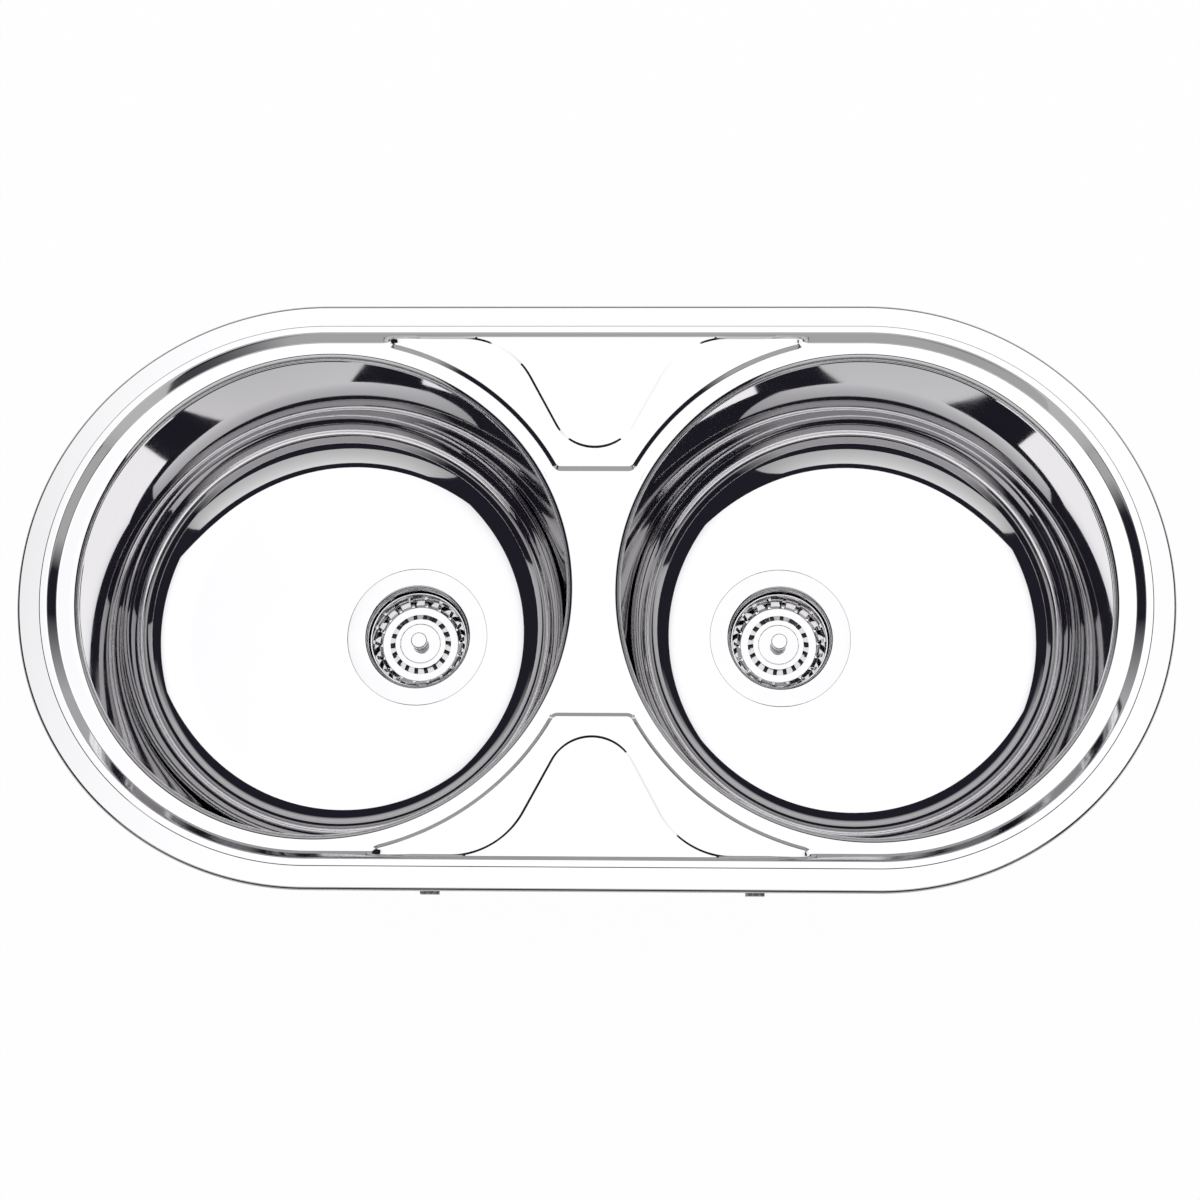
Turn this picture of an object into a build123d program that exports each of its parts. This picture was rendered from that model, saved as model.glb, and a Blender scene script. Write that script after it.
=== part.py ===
from build123d import *
import math
import os

# Double bowl inset kitchen sink, millimetres.
# X runs along the sink, Y to the back, Z up. Z = 0 is the top of the worktop, X = Y = 0 is the sink's middle.
# The same half plan serves left and right, and the same half plan serves front and back.

# ---- overall sizes ----
sink_length = 860.0
sink_width = 448.0
sheet = 0.8
bowl_spacing = 406.0
bowl_radius = 183.0
bowl_depth = 155.0
form_depth = 20.0
overlap = 1.0

# ---- rim, seen in section from the outer edge inwards ----
lip_bottom = 0.3
lip_top = 3.2
lip_round = 2.4
crest_level = 4.5
rim_band = 17.0
crease_rise = 0.3
crease_run = 0.6
crest_width = 5.5
step_run = 6.0
deck_drop = 6.7
step_round = 2.0

# ---- raised ledges between the bowls, and the tongue on each ledge ----
ledge_front = 94.3
ledge_side_gap = 9.0
ledge_reach = 156.0
ledge_rise = 3.0
ledge_run = 2.8
ledge_corner = 6.0
tongue_tip = 110.9
tongue_tip_round = 33.0
tongue_flank_angle = 28.0
tongue_flare_round = 60.0
tongue_rise = 0.9
tongue_run = 2.2

# ---- bowls ----
bowl_edge_round = 6.0
collar_drop = 8.0
wall_slope = 5.0
bowl_corner_round = 50.0
drain_inset = 55.0

# ---- waste fitting ----
flange_radius = 57.0
flange_sheet = 1.0
mouth_radius = 44.0
mouth_round = 3.5
gasket_thickness = 1.2
gasket_inset = 1.0
recess_gap = 0.8
recess_slope = 3.0
dish_wall_depth = 30.0
seat_drop = 6.4
seat_inner_radius = 32.5
sump_depth = 10.6
sump_lean = 1.0
window_count = 6
window_radius = 7.0
window_circle = 19.0
body_seal_thickness = 3.0
body_seal_gap = 0.5
body_flange_thickness = 3.0
body_flange_extra = 1.0
body_wall = 2.5
body_clearance = 1.5
body_cup_depth = 44.0
body_funnel_depth = 17.0
outlet_thread_radius = 23.9
outlet_bore_radius = 20.0
outlet_length = 25.0
rib_count = 8
rib_thickness = 2.5
boss_radius = 9.0
boss_height = 18.0
boss_gap = 1.5
spoke_count = 4
spoke_thickness = 3.0
insert_radius = 6.0
insert_height = 9.0

# ---- basket and plug ----
basket_sheet = 0.8
basket_rim_drop = 12.0
basket_gap = 1.1
basket_floor_drop = 26.0
basket_disc_radius = 20.5
basket_boss_radius = 16.7
basket_boss_rise = 0.5
channel_radius = 24.6
channel_drop = 3.8
channel_outer_radius = 31.5
channel_outer_rise = 3.4
basket_rim_width = 2.5
slot_count = 18
slot_width = 3.0
slot_inner_radius = 20.9
slot_outer_radius = 33.0
slot_start_angle = 3.0
post_radius = 6.6
post_waist = 5.0
post_height = 13.0
post_shank = 3.0
post_knob_height = 5.0
post_foot_radius = 5.8
post_foot_height = 2.0
post_chamfer = 0.8
plug_thickness = 2.0
plug_hub_radius = 18.0
plug_lean = 1.0
plug_seat_gap = 0.42
retainer_radius = 21.0
retainer_thickness = 1.2
post_nut_across = 10.0
post_nut_height = 4.0
shank_spare = 1.0

# ---- fasteners, fits and soft pieces ----
screw_radius = 3.0
screw_head_radius = 5.5
screw_head_height = 4.0
screw_slot_width = 1.4
head_chamfer = 0.8
thread_gap = 0.05
loose_gap = 0.3
seal_inner_offset = 4.0
seal_outer_offset = 12.0
pad_radius = 118.0
pad_thickness = 2.0
pad_gap = 4.0

# ---- clamps that draw the rim down on the worktop ----
clamp_side_place = 120.0
clamp_end_angle = 42.0
clamp_axis_offset = 19.5
bracket_inner_offset = 37.0
bracket_outer_offset = 14.5
bracket_thickness = 1.5
bracket_width = 20.0
bracket_flange = 4.0
pivot_gap = 0.2
rivet_radius = 2.2
rivet_head_radius = 3.6
rivet_head_height = 1.2
arm_width = 9.0
arm_sheet = 2.0
arm_back = 11.0
arm_front = 5.0
arm_bend = 1.0
arm_length = 50.0
thread_tab_drop = 21.0
thread_boss_radius = 4.3
thread_boss_height = 3.0
clamp_screw_radius = 2.5
clamp_screw_lead = 1.5
clamp_screw_head_radius = 4.6
clamp_screw_head_height = 3.2
clamp_slot_width = 1.2
clamp_travel = 16.0
claw_reach = 17.0
claw_tail = 14.5
claw_width = 14.0
claw_sheet = 2.0
claw_spare = 2.0
claw_tip_height = 7.0
claw_tooth_height = 2.5
claw_tooth_count = 3
claw_tooth_lean = 0.8

# ---- sizes that follow from those above ----
half_straight = (sink_length - sink_width) / 2
rim_radius = sink_width / 2
crease_radius = rim_radius - rim_band
crest_radius = crease_radius - crest_width
foot_radius = crest_radius - step_run
deck_level = crest_level - deck_drop
ledge_level = deck_level + ledge_rise
bowl_x = bowl_spacing / 2
bowl_edge_radius = bowl_radius + bowl_edge_round
collar_level = deck_level - collar_drop
floor_level = deck_level - bowl_depth
recess_level = floor_level - flange_sheet - gasket_thickness
drain_x = bowl_x - drain_inset
dish_radius = mouth_radius - mouth_round
drain_hole_radius = dish_radius + flange_sheet + body_clearance
seat_level = floor_level - dish_wall_depth
sump_level = seat_level - seat_drop - sump_depth
plate_bottom = sump_level - flange_sheet
basket_rim_level = floor_level - basket_rim_drop
basket_radius = dish_radius - basket_gap
basket_floor_level = floor_level - basket_floor_drop
body_top = recess_level - sheet - body_seal_thickness
body_inner_radius = dish_radius + flange_sheet + body_clearance
body_flange_radius = flange_radius + body_flange_extra
body_cup_level = body_top - body_cup_depth
outlet_level = body_cup_level - body_funnel_depth
outlet_end = outlet_level - outlet_length
boss_top = plate_bottom - boss_gap
boss_bottom = boss_top - boss_height
insert_top = boss_top - (boss_height - insert_height) / 2
channel_level = basket_floor_level - channel_drop
plug_top = channel_level - basket_sheet - loose_gap
plug_bottom = plug_top - plug_thickness
seat_lean = (dish_radius - seat_inner_radius) / seat_drop
plug_radius = dish_radius - (seat_level - plug_bottom + plug_seat_gap) * seat_lean
post_base = basket_floor_level + basket_boss_rise
nut_top = plug_bottom - retainer_thickness
shank_end = nut_top - post_nut_height - shank_spare
clamp_axis = rim_radius - clamp_axis_offset
form_base = collar_level - form_depth

os.makedirs("parts", exist_ok=True)


def across(x):
    """Plane across the sink at x: its own X points to the back and its own Y points up."""
    return Plane(origin=(x, 0, 0), x_dir=(0, 1, 0), z_dir=(1, 0, 0))


def along(x):
    """Plane along the sink with its origin at x: its own X is the sink's X and its own Y points up."""
    return Plane(origin=(x, 0, 0), x_dir=(1, 0, 0), z_dir=(0, -1, 0))


def upright(x):
    """Vertical axis through (x, 0)."""
    return Axis((x, 0, 0), (0, 0, 1))


def turned(profile_points, x, corner=None, corner_round=0):
    """Solid turned about the vertical axis at x from (radius, level) points, one corner rounded if named."""
    with BuildPart() as body:
        with BuildSketch(along(x)) as profile:
            with BuildLine():
                Polyline(*profile_points, close=True)
            make_face()
            if corner:
                fillet(profile.vertices().sort_by_distance(corner)[0], corner_round)
        revolve(axis=upright(x))
    return body.part


# ---------------------------------------------------------------------------------------------
# Deck: one pressed sheet. It is the space between two forms, one inset from the other by the sheet.
# Each form is a quarter of the plan, and the finished quarter is mirrored twice.
# ---------------------------------------------------------------------------------------------
def rim_form(inset):
    """Quarter of the rim: round lip, sloping band, pressed line, flat crest and the step down to the deck."""
    corners = [
        (rim_radius, form_base),
        (rim_radius, lip_top),
        (crease_radius, crest_level - crease_rise),
        (crease_radius - crease_run, crest_level),
        (crest_radius, crest_level),
        (foot_radius, deck_level),
        (bowl_radius, deck_level),
        (bowl_radius, form_base),
    ]
    with BuildSketch() as section:
        with BuildLine():
            Polyline(*corners, close=True)
        make_face()
        fillet(section.vertices().sort_by_distance(corners[1])[0], lip_round)
        for corner in corners[4:6]:
            fillet(section.vertices().sort_by_distance(corner)[0], step_round)
        if inset:
            offset(amount=-inset, kind=Kind.INTERSECTION)
    with BuildPart() as form:
        with BuildSketch(across(0)):
            add(section.sketch)
        extrude(amount=half_straight)
        with BuildSketch(across(half_straight)):
            add(section.sketch)
        revolve(axis=Axis((half_straight, 0, 0), (0, 0, -1)), revolution_arc=90)
    return form.part


def raised_form(outline, level, rise, run, inset):
    """A raised field with sloping sides over an outline drawn at the middle of its slope."""
    slope = math.atan2(rise, run)
    foot_grow = run / 2 - inset * math.tan(slope / 2)
    with BuildPart() as form:
        with BuildSketch(Plane.XY.offset(level - inset)):
            add(outline)
            offset(amount=foot_grow)
        extrude(amount=rise, taper=90 - math.degrees(slope))
        with BuildSketch(Plane.XY.offset(level - inset)):
            Rectangle(half_straight, crest_radius - overlap, align=(Align.MIN, Align.MIN))
        extrude(amount=rise, mode=Mode.INTERSECT)
    return form.part


def ledge_outline():
    """Field between the two bowls, in from the step to a straight front line."""
    with BuildSketch() as outline:
        with Locations((0, ledge_front)):
            Rectangle(2 * ledge_reach, rim_radius - ledge_front, align=(Align.CENTER, Align.MIN))
        with Locations((-bowl_x, 0), (bowl_x, 0)):
            Circle(bowl_edge_radius + ledge_side_gap, mode=Mode.SUBTRACT)
        front_corners = outline.vertices().group_by(Axis.Y)[0]
        fillet(front_corners, ledge_corner)
    return outline.sketch


def tongue_outline():
    """Rounded V that flares out where it meets the step."""
    lean = math.tan(math.radians(tongue_flank_angle))
    step_line = crest_radius - step_run / 2
    v_point = tongue_tip + tongue_tip_round - tongue_tip_round / math.sin(math.radians(tongue_flank_angle))
    flank_top = (step_line - v_point) * lean
    shoulder = flank_top + tongue_flare_round
    with BuildSketch() as outline:
        with BuildLine():
            Polyline(
                (0, v_point),
                (flank_top, step_line),
                (shoulder, step_line),
                (shoulder, rim_radius),
                (-shoulder, rim_radius),
                (-shoulder, step_line),
                (-flank_top, step_line),
                close=True,
            )
        make_face()
        fillet(outline.vertices().sort_by_distance((0, v_point))[0], tongue_tip_round)
        for side in (-1, 1):
            fillet(outline.vertices().sort_by_distance((side * flank_top, step_line))[0], tongue_flare_round)
    return outline.sketch


def bowl_cutter(inset):
    """Opening for one bowl with the rounded edge that turns down into the collar."""
    radius = bowl_radius + inset
    edge = bowl_edge_radius
    start = deck_level - bowl_edge_round
    drop = bowl_edge_round - inset
    with BuildPart() as cutter:
        with BuildSketch(along(bowl_x)):
            with BuildLine():
                Polyline(
                    (edge, start + drop),
                    (0, start + drop),
                    (0, form_base),
                    (radius, form_base),
                    (radius, start),
                )
                RadiusArc((radius, start), (edge, start + drop), drop)
            make_face()
        revolve(axis=upright(bowl_x))
    return cutter.part


def deck_form(inset):
    """Quarter of the deck as a solid form whose top is the deck's top, inset by the given amount."""
    with BuildPart() as form:
        add(rim_form(inset))
        with BuildSketch(Plane.XY.offset(form_base + inset)):
            SlotCenterToCenter(2 * half_straight, 2 * foot_radius)
            Rectangle(sink_length, sink_width, align=(Align.MIN, Align.MIN), mode=Mode.INTERSECT)
        extrude(amount=deck_level - form_base - 2 * inset)
        add(raised_form(ledge_outline(), deck_level, ledge_rise, ledge_run, inset))
        add(raised_form(tongue_outline(), ledge_level, tongue_rise, tongue_run, inset))
        add(bowl_cutter(inset), mode=Mode.SUBTRACT)
    return form.part


with BuildPart() as deck:
    add(deck_form(0))
    add(deck_form(sheet), mode=Mode.SUBTRACT)
    with BuildSketch(Plane.XY.offset(form_base)):
        Rectangle(sink_length, sink_width, align=(Align.MIN, Align.MIN))
    extrude(amount=collar_level - form_base, mode=Mode.SUBTRACT)
    with BuildSketch(Plane.XY.offset(lip_bottom)):
        Rectangle(sink_length, sink_width, align=(Align.MIN, Align.MIN))
        SlotCenterToCenter(2 * half_straight, 2 * crease_radius, mode=Mode.SUBTRACT)
    extrude(amount=form_base - lip_bottom, mode=Mode.SUBTRACT)
    mirror(about=Plane.XZ)
    mirror(about=Plane.YZ)
deck.part.label = "deck"
export_step(deck.part, "parts/deck.step")

# Soft seal: fills the hollow under the sloping band and bears on the worktop.
with BuildPart() as rim_seal:
    with BuildSketch():
        SlotCenterToCenter(2 * half_straight, 2 * (rim_radius - seal_inner_offset))
        SlotCenterToCenter(2 * half_straight, 2 * (rim_radius - seal_outer_offset), mode=Mode.SUBTRACT)
        Rectangle(sink_length, sink_width, align=(Align.MIN, Align.MIN), mode=Mode.INTERSECT)
    extrude(amount=crest_level)
    add(rim_form(sheet + loose_gap), mode=Mode.INTERSECT)
    mirror(about=Plane.XZ)
    mirror(about=Plane.YZ)
rim_seal.part.label = "rim_seal"
export_step(rim_seal.part, "parts/rim_seal.step")


# ---------------------------------------------------------------------------------------------
# Bowls: drawn shells, welded to the deck's collars, with a recess for the waste flange.
# ---------------------------------------------------------------------------------------------
def bowl_form(side, grow):
    """Inside of one bowl as a solid form, or its outside when grown by the sheet."""
    x = side * bowl_x
    base = floor_level - grow
    wall_lean = wall_slope / (collar_level - floor_level)
    top_radius = bowl_radius + grow
    foot = top_radius - wall_lean * (collar_level - base)
    profile = [(0, collar_level), (top_radius, collar_level), (foot, base), (0, base)]
    recess_foot = flange_radius + recess_gap
    recess_profile = [
        (0, floor_level),
        (recess_foot + recess_slope + grow, floor_level),
        (recess_foot + grow, recess_level - grow),
        (0, recess_level - grow),
    ]
    with BuildPart() as form:
        add(turned(profile, x, (foot, base), bowl_corner_round + grow))
        add(turned(recess_profile, side * drain_x))
    return form.part


for side_name, side in (("left", -1), ("right", 1)):
    with BuildPart() as bowl:
        add(bowl_form(side, sheet))
        add(bowl_form(side, 0), mode=Mode.SUBTRACT)
        with BuildSketch(Plane(origin=(side * drain_x, 0, recess_level))):
            Circle(drain_hole_radius)
        extrude(amount=-2 * sheet, mode=Mode.SUBTRACT)
    bowl.part.label = f"{side_name}_bowl"
    export_step(bowl.part, f"parts/{side_name}_bowl.step")

    # Sound pad glued under the floor, cut away round the waste.
    with BuildPart() as sound_pad:
        with BuildSketch(Plane.XY.offset(floor_level - sheet)):
            with Locations((side * bowl_x, 0)):
                Circle(pad_radius)
            with Locations((side * drain_x, 0)):
                Circle(flange_radius + recess_gap + recess_slope + sheet + pad_gap, mode=Mode.SUBTRACT)
        extrude(amount=-pad_thickness)
    sound_pad.part.label = f"{side_name}_sound_pad"
    export_step(sound_pad.part, f"parts/{side_name}_sound_pad.step")


# ---------------------------------------------------------------------------------------------
# Waste fitting: a steel dish drawn down on the bowl floor by one screw into a plastic body.
# ---------------------------------------------------------------------------------------------
def dish_form(x, grow):
    """Solid form of the dish's hollow with a rounded mouth."""
    radius = dish_radius + grow
    mouth = (mouth_radius, floor_level - grow)
    wall_top = (radius, floor_level - mouth_round)
    with BuildPart() as form:
        with BuildSketch(along(x)):
            with BuildLine():
                Polyline(
                    mouth,
                    (0, floor_level - grow),
                    (0, sump_level - grow),
                    (seat_inner_radius + grow - sump_lean, sump_level - grow),
                    (seat_inner_radius + grow, seat_level - seat_drop),
                    (radius, seat_level),
                    wall_top,
                )
                RadiusArc(wall_top, mouth, mouth_round - grow)
            make_face()
        revolve(axis=upright(x))
    return form.part


for side_name, side in (("left", -1), ("right", 1)):
    x = side * drain_x

    # Steel dish: flange, mouth, wall, plug seat and a drilled bottom plate.
    with BuildPart() as waste_dish:
        with BuildSketch(Plane(origin=(x, 0, floor_level))):
            Circle(flange_radius)
        extrude(amount=-flange_sheet)
        add(dish_form(x, flange_sheet))
        add(dish_form(x, 0), mode=Mode.SUBTRACT)
        with BuildSketch(Plane(origin=(x, 0, sump_level))):
            Circle(screw_radius + loose_gap)
            with PolarLocations(window_circle, window_count):
                Circle(window_radius)
        extrude(amount=-2 * flange_sheet, mode=Mode.SUBTRACT)
    waste_dish.part.label = f"{side_name}_waste_dish"
    export_step(waste_dish.part, f"parts/{side_name}_waste_dish.step")

    with BuildPart() as flange_gasket:
        with BuildSketch(Plane(origin=(x, 0, recess_level))):
            Circle(flange_radius - gasket_inset)
            Circle(mouth_radius + gasket_inset, mode=Mode.SUBTRACT)
        extrude(amount=gasket_thickness)
    flange_gasket.part.label = f"{side_name}_flange_gasket"
    export_step(flange_gasket.part, f"parts/{side_name}_flange_gasket.step")

    with BuildPart() as body_seal:
        with BuildSketch(Plane(origin=(x, 0, body_top))):
            Circle(flange_radius)
            Circle(body_inner_radius + body_seal_gap, mode=Mode.SUBTRACT)
        extrude(amount=body_seal_thickness)
    body_seal.part.label = f"{side_name}_body_seal"
    export_step(body_seal.part, f"parts/{side_name}_body_seal.step")

    # Plastic body: flange, ribbed cup, funnel, threaded outlet, and a boss on spokes for the screw.
    outer = body_inner_radius + body_wall
    body_points = [
        (body_inner_radius, body_top),
        (body_flange_radius, body_top),
        (body_flange_radius, body_top - body_flange_thickness),
        (outer, body_top - body_flange_thickness),
        (outer, body_cup_level),
        (outlet_thread_radius, outlet_level),
        (outlet_thread_radius, outlet_end),
        (outlet_bore_radius, outlet_end),
        (outlet_bore_radius, outlet_level),
        (body_inner_radius, body_cup_level),
    ]
    with BuildPart() as waste_body:
        add(turned(body_points, x))
        with BuildSketch(Plane(origin=(x, 0, body_top - body_flange_thickness))):
            with PolarLocations((outer - overlap + flange_radius) / 2, rib_count):
                Rectangle(flange_radius - outer + overlap, rib_thickness)
        extrude(amount=-(body_cup_depth - body_flange_thickness) / 2)
        with BuildSketch(Plane(origin=(x, 0, boss_top))):
            Circle(boss_radius)
        extrude(amount=-boss_height)
        with BuildSketch(Plane(origin=(x, 0, boss_top))):
            with PolarLocations((body_inner_radius + boss_radius) / 2, spoke_count):
                Rectangle(body_inner_radius - boss_radius + 2 * overlap, spoke_thickness)
            with Locations((0, 0)):
                Circle(body_inner_radius + overlap / 2, mode=Mode.INTERSECT)
        extrude(amount=body_cup_level - boss_top)
        with BuildSketch(Plane(origin=(x, 0, boss_top))):
            Circle(screw_radius + loose_gap)
        extrude(amount=-boss_height, mode=Mode.SUBTRACT)
        with BuildSketch(Plane(origin=(x, 0, insert_top))):
            Circle(insert_radius + thread_gap)
        extrude(amount=-insert_height, mode=Mode.SUBTRACT)
    waste_body.part.label = f"{side_name}_waste_body"
    export_step(waste_body.part, f"parts/{side_name}_waste_body.step")

    with BuildPart() as brass_insert:
        with BuildSketch(Plane(origin=(x, 0, insert_top))):
            Circle(insert_radius)
            Circle(screw_radius + thread_gap, mode=Mode.SUBTRACT)
        extrude(amount=-insert_height)
    brass_insert.part.label = f"{side_name}_brass_insert"
    export_step(brass_insert.part, f"parts/{side_name}_brass_insert.step")

    with BuildPart() as waste_screw:
        with BuildSketch(Plane(origin=(x, 0, sump_level))):
            Circle(screw_head_radius)
        extrude(amount=screw_head_height)
        chamfer(waste_screw.edges().sort_by(Axis.Z)[-1], head_chamfer)
        with BuildSketch(Plane(origin=(x, 0, sump_level + screw_head_height))):
            Rectangle(2 * screw_head_radius, screw_slot_width)
        extrude(amount=-screw_head_height / 2, mode=Mode.SUBTRACT)
        with BuildSketch(Plane(origin=(x, 0, sump_level))):
            Circle(screw_radius)
        extrude(amount=boss_bottom - sump_level - shank_spare)
    waste_screw.part.label = f"{side_name}_waste_screw"
    export_step(waste_screw.part, f"parts/{side_name}_waste_screw.step")


# ---------------------------------------------------------------------------------------------
# Basket: pressed and slotted, with a turned post that carries the rubber plug below it.
# ---------------------------------------------------------------------------------------------
def basket_top_points():
    """Upper surface of the basket from the middle out to the foot of its rim, as (radius, level)."""
    wall_top = basket_radius - basket_rim_width
    return [
        (0, basket_floor_level + basket_boss_rise),
        (basket_boss_radius - basket_boss_rise, basket_floor_level + basket_boss_rise),
        (basket_boss_radius, basket_floor_level),
        (basket_disc_radius, basket_floor_level),
        (channel_radius, channel_level),
        (channel_outer_radius, channel_level + channel_outer_rise),
        (wall_top, basket_rim_level),
    ]


for side_name, side in (("left", -1), ("right", 1)):
    x = side * drain_x
    top_points = basket_top_points()

    with BuildPart() as basket:
        with BuildSketch(along(x)):
            with BuildLine():
                Polyline(*top_points, (basket_radius, basket_rim_level))
                offset(amount=basket_sheet, side=Side.RIGHT)
            make_face()
        revolve(axis=upright(x))
        with BuildSketch(Plane(origin=(x, 0, basket_rim_level))):
            slot_middle = (slot_inner_radius + slot_outer_radius) / 2
            with PolarLocations(slot_middle, slot_count, start_angle=slot_start_angle):
                Rectangle(slot_outer_radius - slot_inner_radius, slot_width)
        extrude(amount=-2 * basket_floor_drop, mode=Mode.SUBTRACT)
        with BuildSketch(Plane(origin=(x, 0, basket_floor_level))):
            Circle(post_shank + thread_gap)
        extrude(amount=2 * basket_sheet, both=True, mode=Mode.SUBTRACT)
    basket.part.label = f"{side_name}_basket"
    export_step(basket.part, f"parts/{side_name}_basket.step")

    # Turned post: a knob with a waist, and a shank through the basket, the plug and its retainer.
    post_top = post_base + post_height
    knob_base = post_top - post_knob_height
    post_points = [
        (0, post_base),
        (post_foot_radius, post_base),
        (post_waist, post_base + post_foot_height),
        (post_waist, knob_base),
        (post_radius, knob_base + post_radius - post_waist),
        (post_radius, post_top - post_chamfer),
        (post_radius - post_chamfer, post_top),
        (0, post_top),
    ]
    with BuildPart() as post:
        add(turned(post_points, x))
        with BuildSketch(Plane(origin=(x, 0, post_base))):
            Circle(post_shank)
        extrude(amount=shank_end - post_base)
    post.part.label = f"{side_name}_basket_post"
    export_step(post.part, f"parts/{side_name}_basket_post.step")

    # Rubber plug: a hub under the basket's disc and a skirt that bears on the dish's seat.
    hub_top = basket_floor_level - basket_sheet - loose_gap
    plug_points = [
        (post_shank + loose_gap, hub_top),
        (plug_hub_radius, hub_top),
        (plug_hub_radius + plug_lean, plug_top),
        (plug_radius + plug_lean, plug_top),
        (plug_radius, plug_bottom),
        (post_shank + loose_gap, plug_bottom),
    ]
    with BuildPart() as plug:
        add(turned(plug_points, x))
    plug.part.label = f"{side_name}_plug"
    export_step(plug.part, f"parts/{side_name}_plug.step")

    with BuildPart() as plug_retainer:
        with BuildSketch(Plane(origin=(x, 0, plug_bottom))):
            Circle(retainer_radius)
            Circle(post_shank + thread_gap, mode=Mode.SUBTRACT)
        extrude(amount=-retainer_thickness)
    plug_retainer.part.label = f"{side_name}_plug_retainer"
    export_step(plug_retainer.part, f"parts/{side_name}_plug_retainer.step")

    with BuildPart() as post_nut:
        with BuildSketch(Plane(origin=(x, 0, nut_top))):
            RegularPolygon(post_nut_across / 2, 6, major_radius=False)
            Circle(post_shank + thread_gap, mode=Mode.SUBTRACT)
        extrude(amount=-post_nut_height)
    post_nut.part.label = f"{side_name}_post_nut"
    export_step(post_nut.part, f"parts/{side_name}_post_nut.step")


# ---------------------------------------------------------------------------------------------
# Clamps: a bracket welded under the deck carries an arm that swings; a screw in the arm lifts a claw.
# ---------------------------------------------------------------------------------------------
def clamp_spots():
    """Origin on the sink's middle line, heading in degrees and level of the sheet's underside."""
    under_ledge = ledge_level - sheet
    under_deck = deck_level - sheet
    side_places = (-clamp_side_place, clamp_side_place)
    spots = [(x, heading, under_ledge) for x in side_places for heading in (90, -90)]
    spots += [(half_straight, turn * clamp_end_angle, under_deck) for turn in (1, -1)]
    spots += [(-half_straight, 180 + turn * clamp_end_angle, under_deck) for turn in (1, -1)]
    return spots


def outward(spot, level=0.0):
    """Level plane at a clamp whose own X points straight out to the rim."""
    x, heading, _ = spot
    ahead = (math.cos(math.radians(heading)), math.sin(math.radians(heading)), 0)
    return Plane(origin=(x, 0, level), x_dir=ahead, z_dir=(0, 0, 1))


def upright_outward(spot):
    """Upright plane at a clamp: its own X points out to the rim and its own Y points up."""
    x, heading, _ = spot
    ahead = (math.cos(math.radians(heading)), math.sin(math.radians(heading)), 0)
    return Plane(origin=(x, 0, 0), x_dir=ahead, z_dir=(ahead[1], -ahead[0], 0))


def upright_facing_out(spot, reach):
    """Upright plane at a distance from the sink's middle line: it faces out, and its own Y points up."""
    x, heading, _ = spot
    ahead = (math.cos(math.radians(heading)), math.sin(math.radians(heading)), 0)
    origin = (x + reach * ahead[0], reach * ahead[1], 0)
    return Plane(origin=origin, x_dir=(-ahead[1], ahead[0], 0), z_dir=ahead)


with BuildPart() as clamp_brackets:
    for spot in clamp_spots():
        top = spot[2]
        inner = rim_radius - bracket_inner_offset
        length = bracket_inner_offset - bracket_outer_offset
        with BuildSketch(outward(spot, top)):
            with Locations((inner, 0)):
                Rectangle(length, bracket_width, align=(Align.MIN, Align.CENTER))
            with Locations((clamp_axis, 0)):
                Circle(rivet_radius + thread_gap, mode=Mode.SUBTRACT)
        extrude(amount=-bracket_thickness)
        with BuildSketch(outward(spot, top)):
            with Locations((inner, 0)):
                Rectangle(bracket_thickness, bracket_width, align=(Align.MIN, Align.CENTER))
        extrude(amount=-bracket_flange)
clamp_brackets.part.label = "clamp_brackets"
export_step(clamp_brackets.part, "parts/clamp_brackets.step")

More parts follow.
